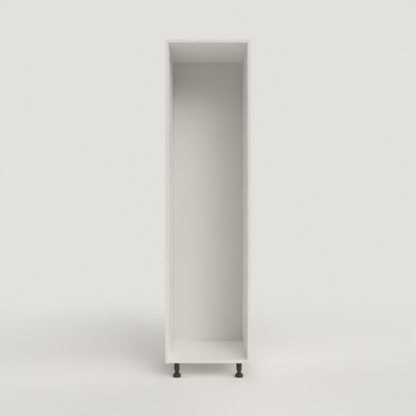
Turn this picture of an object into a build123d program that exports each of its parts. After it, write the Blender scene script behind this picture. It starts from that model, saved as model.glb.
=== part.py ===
from build123d import *
import os

# A tall open cabinet carcass on four adjustable legs, in millimetres.
# +Z is up, the open front faces -Y, and the origin is on the floor under the middle of the carcass.

# Carcass boards
CARCASS_WIDTH = 500.0
CARCASS_HEIGHT = 1900.0
CARCASS_DEPTH = 560.0
BOARD = 18.0
BAND = 1.0
BAND_EASE = 0.6

# Back panel in its grooves, and the rails behind it
BACK_BOARD = 8.0
GROOVE_DEPTH = 8.0
GROOVE_PLAY = 0.1
BACK_EDGE_PLAY = 0.5
RAIL_BOARD = 18.0
RAIL_HEIGHT = 100.0
WALL_HOLE = 6.0
WALL_HOLE_SPACING = 300.0

# Holes in rows on the inner faces of the sides, for hinge plates and shelf pins
ROW_HOLE = 5.0
ROW_HOLE_DEPTH = 12.0
ROW_PITCH = 32.0
ROW_SETBACK = 37.0
ROW_SPACING = 448.0
HINGE_PAIRS = 4
HINGE_END_INSET = 102.0
SHELF_GROUPS = 3
SHELF_STEPS = 3

# Cam fittings and dowels that join the top, the bottom and the rails to the sides
CAM_DIAMETER = 15.0
CAM_HEIGHT = 12.5
CAM_PLAY = 0.1
CAM_FROM_END = 34.0
CAM_FROM_FRONT = 37.0
CAM_FROM_REAR = 48.0
CAM_SLOT = 7.4
CAM_KEY_LENGTH = 9.0
CAM_KEY_WIDTH = 1.6
CAM_KEY_DEPTH = 1.8
BOLT_THREAD = 5.0
BOLT_IN_SIDE = 11.0
BOLT_COLLAR = 7.0
BOLT_COLLAR_LENGTH = 3.0
BOLT_SHAFT = 4.6
BOLT_HEAD = 6.6
BOLT_HEAD_LENGTH = 4.0
BOLT_HOLE = 8.0
DOWEL_DIAMETER = 8.0
DOWEL_FLAT_COUNT = 10
DOWEL_IN_SIDE = 11.0
DOWEL_IN_END = 24.0
DOWEL_PLAY = 0.1
DOWEL_END_PLAY = 0.5
DOWEL_FROM_CAM = 96.0
RAIL_DOWEL_SPACING = 64.0

# Adjustable legs: plate, tube, adjusting screw and foot
LEG_HEIGHT = 100.0
LEG_FROM_SIDE = 64.0
LEG_FROM_FRONT = 77.0
LEG_FROM_REAR = 100.0
PLATE_SIDE = 60.0
PLATE_CORNER = 8.0
PLATE_THICKNESS = 3.5
COLLAR_HEIGHT = 12.5
COLLAR_WALL = 3.0
GUSSET_THICKNESS = 2.6
GUSSET_EDGE = 3.0
TUBE_DIAMETER = 32.5
TUBE_LENGTH = 53.5
TUBE_PLAY = 0.05
TUBE_LIP = 0.5
TUBE_LIP_HEIGHT = 5.0
SCREW_DIAMETER = 26.0
SCREW_LENGTH = 51.0
SCREW_BORE = 19.0
SCREW_FLOOR = 6.0
RUNNING_PLAY = 0.3
SPIGOT_DIAMETER = 13.0
SPIGOT_LENGTH = 9.0
FOOT_DIAMETER = 48.0
FOOT_HEIGHT = 20.0
FOOT_SHOULDER = 8.0
FOOT_WALL = 3.5
FOOT_RECESS = 7.0
FOOT_RIB_COUNT = 6
FOOT_RIB_THICKNESS = 2.0
FOOT_HUB_WALL = 3.0
GRIP_NOTCH_COUNT = 16
GRIP_WIDTH = 3.0
GRIP_DEPTH = 1.2
GRIP_EDGE = 2.0

# Screws that hold the leg plates to the bottom panel
FIXING_SPACING = 44.0
FIXING_DIAMETER = 3.5
FIXING_IN_BOARD = 12.5
FIXING_HEAD = 7.0
FIXING_HEAD_HEIGHT = 2.4
FIXING_FLAT_COUNT = 8
FIXING_PLAY = 0.1
FIXING_TIP_PLAY = 0.5

# Planes that several pieces share
FRONT = -CARCASS_DEPTH / 2
REAR = CARCASS_DEPTH / 2
BOARD_FRONT = FRONT + BAND
OUTER_HALF = CARCASS_WIDTH / 2
INNER_HALF = OUTER_HALF - BOARD
UNDERSIDE = LEG_HEIGHT
FLOOR_FACE = UNDERSIDE + BOARD
CROWN = LEG_HEIGHT + CARCASS_HEIGHT
CEILING_FACE = CROWN - BOARD
BACK_REAR = REAR - RAIL_BOARD
BACK_FRONT = BACK_REAR - BACK_BOARD
RAIL_MIDDLE = REAR - RAIL_BOARD / 2
PLATE_FACE = UNDERSIDE - PLATE_THICKNESS

# Places along the depth of the corner joints, and the heights of the joined boards
CAM_ROW = [FRONT + CAM_FROM_FRONT, REAR - CAM_FROM_REAR]
DOWEL_ROW = [CAM_ROW[0] + DOWEL_FROM_CAM, CAM_ROW[1] - DOWEL_FROM_CAM]
DECK_MIDDLES = [UNDERSIDE + BOARD / 2, CROWN - BOARD / 2]
RAIL_MIDDLES = [FLOOR_FACE + RAIL_HEIGHT / 2, CEILING_FACE - RAIL_HEIGHT / 2]
HANDS = [-1, 1]

# Leg axes, named as seen from the front
LEGS = {
    "front_left": (LEG_FROM_SIDE - OUTER_HALF, FRONT + LEG_FROM_FRONT),
    "front_right": (OUTER_HALF - LEG_FROM_SIDE, FRONT + LEG_FROM_FRONT),
    "rear_left": (LEG_FROM_SIDE - OUTER_HALF, REAR - LEG_FROM_REAR),
    "rear_right": (OUTER_HALF - LEG_FROM_SIDE, REAR - LEG_FROM_REAR),
}

UP = Rot(0, 0, 0)
DOWN = Rot(180, 0, 0)
BACKWARD = Rot(-90, 0, 0)
STANDING = (Align.CENTER, Align.CENTER, Align.MIN)


def outward(hand):
    """Turn a piece that stands along +Z so that it points to the left or right side."""
    return Rot(0, 90 * hand, 0)


def board(x_limits, y_limits, z_limits):
    """A square-edged board between two limits on each axis."""
    limits = [sorted(pair) for pair in (x_limits, y_limits, z_limits)]
    middle = [(low + high) / 2 for low, high in limits]
    size = [high - low for low, high in limits]
    return Pos(*middle) * Box(*size)


def bore(mouth, turn, diameter, depth):
    """A drilled hole that starts at its mouth and runs the way that the turn points."""
    return Pos(*mouth) * turn * Cylinder(diameter / 2, depth, align=STANDING)


def turned(*outline):
    """A solid of revolution about Z from the corners of its half section, as (radius, height)."""
    return revolve(Plane.XZ * make_face(Polyline(*outline, close=True)), Axis.Z)


def spread(count, low, high):
    """Evenly spaced places from low to high, with both ends."""
    return [low + (high - low) * step / (count - 1) for step in range(count)]


def row_heights():
    """Heights of the hinge-plate holes and of the shelf-pin holes."""
    hinges = spread(HINGE_PAIRS, UNDERSIDE + HINGE_END_INSET, CROWN - HINGE_END_INSET)
    hinge_holes = [middle + end * ROW_PITCH / 2 for middle in hinges for end in (-1, 1)]
    shelves = spread(SHELF_GROUPS + 2, FLOOR_FACE, CEILING_FACE)[1:-1]
    steps = [step - (SHELF_STEPS - 1) / 2 for step in range(SHELF_STEPS)]
    shelf_holes = [middle + step * ROW_PITCH for middle in shelves for step in steps]
    return hinge_holes, shelf_holes


def rail_dowel_heights(middle):
    return [middle - RAIL_DOWEL_SPACING / 2, middle + RAIL_DOWEL_SPACING / 2]


def side_panel(hand):
    """A side with its back groove, its rows of holes and the holes of its joints."""
    inner = hand * INNER_HALF
    panel = board((inner, hand * OUTER_HALF), (BOARD_FRONT, REAR), (UNDERSIDE, CROWN))
    groove_end = inner + hand * GROOVE_DEPTH
    groove_width = (BACK_FRONT - GROOVE_PLAY, BACK_REAR + GROOVE_PLAY)
    cuts = [board((inner, groove_end), groove_width, (UNDERSIDE, CROWN))]
    turn = outward(hand)
    hinge_holes, shelf_holes = row_heights()
    front_row = FRONT + ROW_SETBACK
    for z in hinge_holes + shelf_holes:
        cuts.append(bore((inner, front_row, z), turn, ROW_HOLE, ROW_HOLE_DEPTH))
    for z in shelf_holes:
        cuts.append(bore((inner, front_row + ROW_SPACING, z), turn, ROW_HOLE, ROW_HOLE_DEPTH))
    for z in DECK_MIDDLES:
        for y in CAM_ROW:
            cuts.append(bore((inner, y, z), turn, BOLT_THREAD + CAM_PLAY, BOLT_IN_SIDE + DOWEL_END_PLAY))
        for y in DOWEL_ROW:
            cuts.append(dowel_hole((inner, y, z), hand, DOWEL_IN_SIDE))
    for middle in RAIL_MIDDLES:
        for z in rail_dowel_heights(middle):
            cuts.append(dowel_hole((inner, RAIL_MIDDLE, z), hand, DOWEL_IN_SIDE))
    return panel - cuts


def deck_panel(facing):
    """The top (facing 1) or the bottom (facing -1), with cam bores on its hidden face."""
    outer = CROWN if facing > 0 else UNDERSIDE
    inner = outer - facing * BOARD
    middle = outer - facing * BOARD / 2
    panel = board((-INNER_HALF, INNER_HALF), (BOARD_FRONT, REAR), (inner, outer))
    groove_width = (BACK_FRONT - GROOVE_PLAY, BACK_REAR + GROOVE_PLAY)
    cuts = [board((-INNER_HALF, INNER_HALF), groove_width, (inner, inner + facing * GROOVE_DEPTH))]
    inward = DOWN if facing > 0 else UP
    for hand in HANDS:
        end = hand * INNER_HALF
        for y in CAM_ROW:
            mouth = (end - hand * CAM_FROM_END, y, outer)
            cuts.append(bore(mouth, inward, CAM_DIAMETER + 2 * CAM_PLAY, CAM_HEIGHT + CAM_PLAY))
            cuts.append(bore((end, y, middle), outward(-hand), BOLT_HOLE, CAM_FROM_END))
        for y in DOWEL_ROW:
            cuts.append(dowel_hole((end, y, middle), -hand, DOWEL_IN_END))
    if facing < 0:
        for x, y in fixing_places():
            depth = FIXING_IN_BOARD + FIXING_TIP_PLAY
            cuts.append(bore((x, y, outer), inward, FIXING_DIAMETER + FIXING_PLAY, depth))
    return panel - cuts


def back_panel():
    """The thin back, held on all four edges in the grooves."""
    reach = GROOVE_DEPTH - BACK_EDGE_PLAY
    half = INNER_HALF + reach
    return board((-half, half), (BACK_FRONT, BACK_REAR), (FLOOR_FACE - reach, CEILING_FACE + reach))


def rear_rail(middle, wall_holes):
    """A stiffening rail behind the back, with wall-screw holes where they are wanted."""
    half = RAIL_HEIGHT / 2
    rail = board((-INNER_HALF, INNER_HALF), (BACK_REAR, REAR), (middle - half, middle + half))
    cuts = []
    for hand in HANDS:
        for z in rail_dowel_heights(middle):
            cuts.append(dowel_hole((hand * INNER_HALF, RAIL_MIDDLE, z), -hand, DOWEL_IN_END))
        if wall_holes:
            mouth = (hand * WALL_HOLE_SPACING / 2, BACK_REAR, middle)
            cuts.append(bore(mouth, BACKWARD, WALL_HOLE, RAIL_BOARD))
    return rail - cuts


def edge_band(x_limits, z_limits, run):
    """Plastic edging on a board's front edge, with its two long front edges eased."""
    band = board(x_limits, (FRONT, BOARD_FRONT), z_limits)
    return fillet(band.edges().filter_by(run).group_by(Axis.Y)[0], BAND_EASE)


def dowel_hole(mouth, hand, depth):
    return bore(mouth, outward(hand), DOWEL_DIAMETER + DOWEL_PLAY, depth + DOWEL_END_PLAY)


def dowel(y, z, hand):
    """A fluted wooden dowel across the joint between a side and the end of another board."""
    stick = extrude(RegularPolygon(DOWEL_DIAMETER / 2, DOWEL_FLAT_COUNT), DOWEL_IN_END + DOWEL_IN_SIDE)
    return Pos(hand * (INNER_HALF - DOWEL_IN_END), y, z) * outward(hand) * stick


def cam_lock():
    """A cam whose driving face is at the origin and whose claw opens towards +X."""
    lock = Pos(0, 0, -CAM_HEIGHT) * Cylinder(CAM_DIAMETER / 2, CAM_HEIGHT, align=STANDING)
    slot_top = -(BOARD - CAM_SLOT) / 2
    slot_back = -CAM_SLOT / 2
    claw = board((slot_back, CAM_DIAMETER), (-CAM_SLOT / 2, CAM_SLOT / 2), (-CAM_HEIGHT, slot_top))
    key = Box(CAM_KEY_LENGTH, CAM_KEY_WIDTH, 2 * CAM_KEY_DEPTH)
    return lock - claw - key - Rot(0, 0, 90) * key


def cam_bolt():
    """The bolt of a cam fitting: its thread below the origin, its shaft and head above."""
    head_top = CAM_FROM_END + BOLT_HEAD_LENGTH / 2
    head_base = CAM_FROM_END - BOLT_HEAD_LENGTH / 2
    return turned(
        (0, -BOLT_IN_SIDE),
        (BOLT_THREAD / 2, -BOLT_IN_SIDE),
        (BOLT_THREAD / 2, 0),
        (BOLT_COLLAR / 2, 0),
        (BOLT_COLLAR / 2, BOLT_COLLAR_LENGTH),
        (BOLT_SHAFT / 2, BOLT_COLLAR_LENGTH),
        (BOLT_SHAFT / 2, head_base),
        (BOLT_HEAD / 2, head_base),
        (BOLT_HEAD / 2, head_top),
        (0, head_top),
    )


def cam_places():
    """Side, depth and facing of every cam fitting."""
    return [(hand, y, facing) for facing in HANDS for hand in HANDS for y in CAM_ROW]


def placed_cam_lock(hand, y, facing):
    outer = CROWN if facing > 0 else UNDERSIDE
    flip = UP if facing > 0 else DOWN
    claw_turn = Rot(0, 0, 0) if hand > 0 else Rot(0, 0, 180)
    return Pos(hand * (INNER_HALF - CAM_FROM_END), y, outer) * flip * claw_turn * cam_lock()


def placed_cam_bolt(hand, y, facing):
    middle = DECK_MIDDLES[1] if facing > 0 else DECK_MIDDLES[0]
    return Pos(hand * INNER_HALF, y, middle) * outward(-hand) * cam_bolt()


def leg_plate():
    """A moulded plate with a gusseted collar for the tube. Its top is at the underside of the carcass."""
    collar = TUBE_DIAMETER / 2 + TUBE_PLAY + COLLAR_WALL
    collar_end = PLATE_FACE - COLLAR_HEIGHT
    flange = extrude(RectangleRounded(PLATE_SIDE, PLATE_SIDE, PLATE_CORNER), PLATE_THICKNESS)
    plate = Pos(0, 0, PLATE_FACE) * flange
    plate += Pos(0, 0, collar_end) * Cylinder(collar, COLLAR_HEIGHT, align=STANDING)
    inside = collar - COLLAR_WALL / 2
    tip = PLATE_SIDE / 2 - GUSSET_EDGE
    web = Polyline((inside, PLATE_FACE), (tip, PLATE_FACE), (inside, collar_end), close=True)
    gusset = extrude(Plane.XZ * make_face(web), GUSSET_THICKNESS / 2, both=True)
    plate += [place * gusset for place in PolarLocations(0, 4)]
    socket = Cylinder(collar - COLLAR_WALL, COLLAR_HEIGHT, align=STANDING)
    plate -= Pos(0, 0, collar_end) * socket
    holes = GridLocations(FIXING_SPACING, FIXING_SPACING, 2, 2)
    clear = Cylinder(FIXING_DIAMETER / 2 + FIXING_PLAY, 2 * PLATE_THICKNESS)
    return plate - [Pos(0, 0, PLATE_FACE) * place * clear for place in holes]


def leg_tube():
    """The tube that is pushed into the collar, with a lip round its lower end and a bore for the screw."""
    low = PLATE_FACE - TUBE_LENGTH
    outer = TUBE_DIAMETER / 2
    inner = SCREW_DIAMETER / 2 + RUNNING_PLAY
    return turned(
        (inner, low),
        (outer + TUBE_LIP, low),
        (outer + TUBE_LIP, low + TUBE_LIP_HEIGHT),
        (outer, low + TUBE_LIP_HEIGHT),
        (outer, PLATE_FACE),
        (inner, PLATE_FACE),
    )


def adjusting_screw():
    """The hollow screw that stands on the foot and turns in the tube, with a spigot in the foot."""
    top = FOOT_HEIGHT + SCREW_LENGTH
    return turned(
        (0, FOOT_HEIGHT - SPIGOT_LENGTH),
        (SPIGOT_DIAMETER / 2, FOOT_HEIGHT - SPIGOT_LENGTH),
        (SPIGOT_DIAMETER / 2, FOOT_HEIGHT),
        (SCREW_DIAMETER / 2, FOOT_HEIGHT),
        (SCREW_DIAMETER / 2, top),
        (SCREW_BORE / 2, top),
        (SCREW_BORE / 2, FOOT_HEIGHT + SCREW_FLOOR),
        (0, FOOT_HEIGHT + SCREW_FLOOR),
    )


def foot():
    """The round foot: a shoulder of two slopes, a notched rim, a socket for the screw and a ribbed underside."""
    rim = FOOT_DIAMETER / 2
    rim_top = FOOT_HEIGHT - FOOT_SHOULDER
    bend = FOOT_SHOULDER * (1 - 0.5**0.5)
    body = turned(
        (0, 0),
        (rim, 0),
        (rim, rim_top),
        (rim - bend, FOOT_HEIGHT - bend),
        (rim - FOOT_SHOULDER, FOOT_HEIGHT),
        (0, FOOT_HEIGHT),
    )
    socket = SPIGOT_DIAMETER / 2 + RUNNING_PLAY
    socket_floor = FOOT_HEIGHT - SPIGOT_LENGTH - RUNNING_PLAY
    body -= Pos(0, 0, socket_floor) * Cylinder(socket, FOOT_HEIGHT, align=STANDING)
    recess = Cylinder(rim - FOOT_WALL, FOOT_RECESS, align=STANDING)
    recess -= Cylinder(socket + FOOT_HUB_WALL, FOOT_RECESS, align=STANDING)
    rib = Box(FOOT_DIAMETER, FOOT_RIB_THICKNESS, FOOT_RECESS, align=(Align.MIN, Align.CENTER, Align.MIN))
    recess -= [place * rib for place in PolarLocations(0, FOOT_RIB_COUNT)]
    notch_height = rim_top - 2 * GRIP_EDGE
    notch = Box(2 * GRIP_DEPTH, GRIP_WIDTH, notch_height, align=STANDING)
    notches = [Pos(0, 0, GRIP_EDGE) * place * notch for place in PolarLocations(rim, GRIP_NOTCH_COUNT)]
    return body - recess - notches


def fixing_places():
    """Where the screws of all four plates go into the bottom panel."""
    half = FIXING_SPACING / 2
    return [(x + dx, y + dy) for x, y in LEGS.values() for dx in (-half, half) for dy in (-half, half)]


def fixing_screw():
    """A pan-head screw that points up, with the seat of its head at the plate's lower face."""
    shank = extrude(RegularPolygon(FIXING_DIAMETER / 2, FIXING_FLAT_COUNT), PLATE_THICKNESS + FIXING_IN_BOARD)
    head = Cylinder(FIXING_HEAD / 2, FIXING_HEAD_HEIGHT, align=(Align.CENTER, Align.CENTER, Align.MAX))
    return Pos(0, 0, PLATE_FACE) * (shank + head)


def pieces():
    """Every node of the part by name."""
    nodes = {}
    nodes["left_side_panel"] = side_panel(-1)
    nodes["right_side_panel"] = side_panel(1)
    nodes["top_panel"] = deck_panel(1)
    nodes["bottom_panel"] = deck_panel(-1)
    nodes["back_panel"] = back_panel()
    nodes["lower_rear_rail"] = rear_rail(RAIL_MIDDLES[0], wall_holes=False)
    nodes["upper_rear_rail"] = rear_rail(RAIL_MIDDLES[1], wall_holes=True)
    tall = (UNDERSIDE, CROWN)
    wide = (-INNER_HALF, INNER_HALF)
    nodes["left_edge_band"] = edge_band((-OUTER_HALF, -INNER_HALF), tall, Axis.Z)
    nodes["right_edge_band"] = edge_band((INNER_HALF, OUTER_HALF), tall, Axis.Z)
    nodes["top_edge_band"] = edge_band(wide, (CEILING_FACE, CROWN), Axis.X)
    nodes["bottom_edge_band"] = edge_band(wide, (UNDERSIDE, FLOOR_FACE), Axis.X)
    corner = [(y, z, hand) for hand in HANDS for z in DECK_MIDDLES for y in DOWEL_ROW]
    nodes["corner_dowels"] = Compound([dowel(*place) for place in corner])
    heights = [z for middle in RAIL_MIDDLES for z in rail_dowel_heights(middle)]
    nodes["rail_dowels"] = Compound([dowel(RAIL_MIDDLE, z, hand) for hand in HANDS for z in heights])
    nodes["cam_locks"] = Compound([placed_cam_lock(*place) for place in cam_places()])
    nodes["cam_bolts"] = Compound([placed_cam_bolt(*place) for place in cam_places()])
    nodes["leg_fixing_screws"] = Compound([Pos(x, y, 0) * fixing_screw() for x, y in fixing_places()])
    for name, (x, y) in LEGS.items():
        nodes["leg_plate_" + name] = Pos(x, y, 0) * leg_plate()
        nodes["leg_tube_" + name] = Pos(x, y, 0) * leg_tube()
        nodes["adjusting_screw_" + name] = Pos(x, y, 0) * adjusting_screw()
        nodes["foot_" + name] = Pos(x, y, 0) * foot()
    return nodes


os.makedirs("parts", exist_ok=True)
for node_name, shape in pieces().items():
    export_step(shape, os.path.join("parts", node_name + ".step"))
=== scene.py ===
# %% [markdown]
# # A tall cabinet carcass on levelling legs
# The carcass is a tall open box of white melamine-faced board that stands on four black plastic
# legs. Its boards, fittings and legs come in from the CAD model at their real size and place, and
# never move here. This lesson gives every board, fitting and leg its finish, models the legs, the
# screws and the cams again in finer detail, and sets up the studio and the camera.

# %% Load the frame, and a reader for the box of a CAD node
import math
import bmesh
import bpy
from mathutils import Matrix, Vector


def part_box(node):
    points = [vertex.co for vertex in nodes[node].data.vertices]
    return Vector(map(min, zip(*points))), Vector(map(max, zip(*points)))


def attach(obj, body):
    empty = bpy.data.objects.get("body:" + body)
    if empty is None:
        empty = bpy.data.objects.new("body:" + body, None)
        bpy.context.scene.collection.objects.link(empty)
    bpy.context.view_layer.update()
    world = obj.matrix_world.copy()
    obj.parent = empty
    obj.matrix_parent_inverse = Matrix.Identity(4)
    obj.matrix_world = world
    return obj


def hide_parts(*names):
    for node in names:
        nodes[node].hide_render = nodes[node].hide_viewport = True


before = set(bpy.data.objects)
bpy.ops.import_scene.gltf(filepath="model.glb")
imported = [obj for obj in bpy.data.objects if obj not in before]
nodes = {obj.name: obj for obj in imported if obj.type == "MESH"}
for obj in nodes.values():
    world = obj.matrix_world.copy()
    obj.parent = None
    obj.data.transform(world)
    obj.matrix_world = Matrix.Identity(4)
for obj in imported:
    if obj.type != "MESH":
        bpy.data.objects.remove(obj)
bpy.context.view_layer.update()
print("CAD nodes:", len(nodes))

# %% [markdown]
# ## Reading sizes from the frame
# A finish that changes from the face of a board to its cut edge has to know where the board's faces
# are. They could be typed in again, but then a changed board would leave its finish behind. So the
# planes are read from the boxes of the CAD nodes.

# %% Planes of the carcass
X, Y, Z = range(3)
side_low, side_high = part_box("right_side_panel")
bottom_low, bottom_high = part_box("bottom_panel")
top_low, top_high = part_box("top_panel")
rail_low, rail_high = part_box("upper_rear_rail")
back_low, back_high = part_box("back_panel")
FRONT_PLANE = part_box("right_edge_band")[0].y
BOARD_FRONT = side_low.y
print("front plane", round(FRONT_PLANE, 4), "inner side", round(side_low.x, 4))

# %% [markdown]
# ## The camera
# The photo looks straight at the open front, level, from a little under four metres away. The place
# could be found by trial, but the photo gives it: the back panel looks smaller than the front by a
# known ratio, and that fixes the distance. The lens then follows from how many millimetres of the
# front plane one pixel of the picture covers.

# %% Camera at the photo's place
QUARTER_TURN = math.radians(90)
CAMERA_TO_FRONT = 3.737
CAMERA_HEIGHT = 1.0122
METRES_PER_PIXEL = 0.005868
PICTURE_PIXELS = 416
SENSOR_MM = 36.0
LEVEL_LINE_PIXEL = 207.75

bpy.ops.object.select_all(action="DESELECT")
bpy.ops.object.camera_add(
    location=(0, FRONT_PLANE - CAMERA_TO_FRONT, CAMERA_HEIGHT),
    rotation=(QUARTER_TURN, 0, 0),
)
camera = bpy.context.object
camera.name = "photo_camera"
camera.data.sensor_width = SENSOR_MM
camera.data.lens = SENSOR_MM * CAMERA_TO_FRONT / (METRES_PER_PIXEL * PICTURE_PIXELS)
camera.data.shift_y = (LEVEL_LINE_PIXEL - PICTURE_PIXELS / 2) / PICTURE_PIXELS
bpy.context.scene.camera = camera
print("lens", round(camera.data.lens, 2), "mm")

# %% [markdown]
# ## Shader maths as plain expressions
# A finish is built from many small nodes. Adding and linking them one by one hides the idea behind
# the wiring. So the class Wire holds one output socket and turns the signs +, - and * into Math
# nodes. The reflected forms let a number come first, so that 1 - mask reads as it sounds.

# %% Wire, a socket with arithmetic
class Wire:
    """One output socket of a node tree, with arithmetic."""

    def __init__(self, tree, socket):
        self.tree = tree
        self.socket = socket

    def maths(self, operation, *values):
        return self.tree.add("ShaderNodeMath", {"operation": operation}, dict(enumerate(values)))

    def __add__(self, other):
        return self.maths("ADD", self, other)

    def __radd__(self, other):
        return self.maths("ADD", other, self)

    def __sub__(self, other):
        return self.maths("SUBTRACT", self, other)

    def __rsub__(self, other):
        return self.maths("SUBTRACT", other, self)

    def __mul__(self, other):
        return self.maths("MULTIPLY", self, other)

    def __rmul__(self, other):
        return self.maths("MULTIPLY", other, self)

    def __abs__(self):
        return self.maths("ABSOLUTE", self)

    def over(self, limit):
        return self.maths("GREATER_THAN", self, limit)

    def lesser(self, other):
        return self.maths("MINIMUM", self, other)

    def ramp(self, low, high):
        """0 at low and 1 at high, smooth in between."""
        settings = {"interpolation_type": "SMOOTHSTEP"}
        sockets = {"Value": self, "From Min": low, "From Max": high}
        return self.tree.add("ShaderNodeMapRange", settings, sockets)


print("Wire ready")

# %% [markdown]
# ## A tree of nodes
# Every other node comes from one method, add. It takes the node's type, then its settings, and then
# the values or links of its sockets. A Finish is a material: such a tree with a shader at its end.
# Its patterns all start from the point on the piece, in metres in the frame of the whole part, so a
# pattern has its real size and runs on from one piece to the next.

# %% Nodes, a tree that is filled by calls
class Nodes:
    """A node tree that is filled by calls."""

    def __init__(self, tree):
        self.tree = tree

    def own(self, kind):
        """The node of a type that the tree came with."""
        return next(node for node in self.tree.nodes if node.type == kind)

    def add(self, kind, settings=None, sockets=None, output=0):
        node = self.tree.nodes.new(kind)
        for key, value in (settings or {}).items():
            setattr(node, key, value)
        for key, value in (sockets or {}).items():
            self.feed(node.inputs[key], value)
        return Wire(self, node.outputs[output])

    def feed(self, target, value):
        if isinstance(value, Wire):
            self.tree.links.new(value.socket, target)
        else:
            target.default_value = value


print("Nodes ready")

# %% Finish, a material and its patterns
class Finish(Nodes):
    """A material and the nodes that make it."""

    def __init__(self, name):
        self.material = bpy.data.materials.new(name)
        self.material.use_nodes = True
        super().__init__(self.material.node_tree)
        self.shader = self.own("BSDF_PRINCIPLED")

    def surface(self, **values):
        """Set or link the sockets of the material's own shader, with _ for a space."""
        for key, value in values.items():
            self.feed(self.shader.inputs[key.replace("_", " ")], value)

    def place(self):
        """The point on the piece, in metres, in the frame of the whole part."""
        return self.add("ShaderNodeTexCoord", output="Object")

    def along(self, axis):
        return self.add("ShaderNodeSeparateXYZ", sockets={"Vector": self.place()}, output=axis)

    def scaled(self, axis, factor):
        """The point with one axis scaled: under 1 draws a pattern out along it, over 1 flattens it."""
        scale = [1.0, 1.0, 1.0]
        scale[axis] = factor
        sockets = {0: self.place(), 1: scale}
        return self.add("ShaderNodeVectorMath", {"operation": "MULTIPLY"}, sockets)

    def noise(self, vector, scale, detail=2.0, roughness=0.5):
        sockets = {"Vector": vector, "Scale": scale, "Detail": detail, "Roughness": roughness}
        return self.add("ShaderNodeTexNoise", sockets=sockets)

    def cells(self, vector, scale, output="Color", feature="F1"):
        sockets = {"Vector": vector, "Scale": scale}
        return self.add("ShaderNodeTexVoronoi", {"feature": feature}, sockets, output)

    def channel(self, colour, name):
        """One channel of a colour, as a value."""
        return self.add("ShaderNodeSeparateColor", sockets={"Color": colour}, output=name)

    def mix(self, factor, first, second):
        """Two colours mixed."""
        sockets = {0: factor, 6: first, 7: second}
        return self.add("ShaderNodeMix", {"data_type": "RGBA"}, sockets, output=2)

    def bump(self, height, distance, strength):
        sockets = {"Height": height, "Distance": distance, "Strength": strength}
        return self.add("ShaderNodeBump", sockets=sockets)


print("Finish ready")

# %% [markdown]
# ## Melamine film
# The real boards are chipboard with a thin white melamine film pressed on both faces. From afar the
# film is plain. Close up it has cloudy, hardly visible changes of tone and fine specks. One flat
# colour would look like paper, so a large and a fine noise mix a warmer white into it. The back
# panel is a thinner board with a slightly darker film.

# %% Film
FILM = (0.910, 0.893, 0.870, 1)
FILM_WARM = (0.896, 0.877, 0.851, 1)
BACK_FILM = (0.755, 0.732, 0.702, 1)
BACK_FILM_WARM = (0.738, 0.714, 0.682, 1)
FILM_CLOUDS = 5.0
CLOUD_DETAIL = 3.0
CLOUD_RANGE = (0.35, 0.75)
CLOUD_SHARE = 0.25
FILM_SPECKS = 900.0
SPECK_RANGE = (0.55, 0.85)
SPECK_SHARE = 0.2


def film_tone(finish, tone, warm):
    """White film with cloudy changes of tone and fine specks."""
    clouds = finish.noise(finish.place(), FILM_CLOUDS, CLOUD_DETAIL).ramp(*CLOUD_RANGE)
    specks = finish.noise(finish.place(), FILM_SPECKS).ramp(*SPECK_RANGE)
    return finish.mix(clouds * CLOUD_SHARE + specks * SPECK_SHARE, tone, warm)


print("film", FILM[:3], "film of the back", BACK_FILM[:3])

# %% [markdown]
# ## Chipboard core
# Cut edges that carry no edging show the brown core: coarse particles in the middle of the board,
# fine ones under the faces, a few pale flakes, and dark gaps between the particles, which are
# painted shade for the hollows there. A noise would look like sand, because it has no outlines.
# The cells of a Voronoi pattern do look like cut particles, once they are flattened in the plane
# of the board as the press flattens them. Two sizes of cell, mixed by depth, make the layers.

# %% Core
CORE_PALE = (0.560, 0.410, 0.255, 1)
CORE_DARK = (0.300, 0.190, 0.105, 1)
CORE_CHIP = (0.680, 0.540, 0.370, 1)
# The colour of the gaps is painted shade for the hollows between particles.
CORE_GAP_SHADE = (0.150, 0.090, 0.050, 1)
CORE_SQUEEZE = 2.8
FINE_LAYER_END = (0.0021, 0.0039)
COARSE_PARTICLES = 420.0
FINE_PARTICLES = 1100.0
FINE_TONE = 0.35
FINE_CONTRAST = 0.4
WOOD_DUST = 2600.0
DUST_SHARE = 0.2
PALE_FLAKES = 240.0
FLAKE_RANGE = (0.80, 0.86)
FLAKE_SHARE = 0.8
GAP_RANGE = (0.02, 0.08)
GAP_SHADE_SHARE = 0.5


def core_tone(finish, across, below_face):
    """Pressed particles: coarse in the middle of the board, fine under its faces."""
    point = finish.scaled(across, CORE_SQUEEZE)
    middle = below_face.ramp(*FINE_LAYER_END)
    coarse = finish.channel(finish.cells(point, COARSE_PARTICLES), "Red")
    fine = finish.channel(finish.cells(point, FINE_PARTICLES), "Red")
    shade = middle * coarse + (1 - middle) * (FINE_TONE + fine * FINE_CONTRAST)
    dust = finish.noise(finish.place(), WOOD_DUST)
    tone = finish.mix(shade * (1 - DUST_SHARE) + dust * DUST_SHARE, CORE_DARK, CORE_PALE)
    flakes = finish.channel(finish.cells(point, PALE_FLAKES), "Green").ramp(*FLAKE_RANGE)
    tone = finish.mix(middle * flakes * FLAKE_SHARE, tone, CORE_CHIP)
    # Painted shade: a dark colour along the outlines of the coarse particles stands for the shade in
    # the hollows between them.
    outlines = finish.cells(point, COARSE_PARTICLES, "Distance", "DISTANCE_TO_EDGE")
    shaded_gaps = 1 - outlines.ramp(*GAP_RANGE)
    return finish.mix(middle * shaded_gaps * GAP_SHADE_SHARE, tone, CORE_GAP_SHADE), shade


print("core from", CORE_DARK[:3], "to", CORE_PALE[:3])

# %% [markdown]
# ## A board of film and core
# Film and core meet on one mesh. Painting them by hand would need separate meshes, so the finish
# asks how deep a point lies below the nearer face: on the face it is film, and anywhere between the
# faces it is bare core. The film also gets its pebbled texture here, and a hair of brown glue where
# the edge band begins. The two side panels share one finish, because the distance from the middle
# plane is the same for both.

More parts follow.
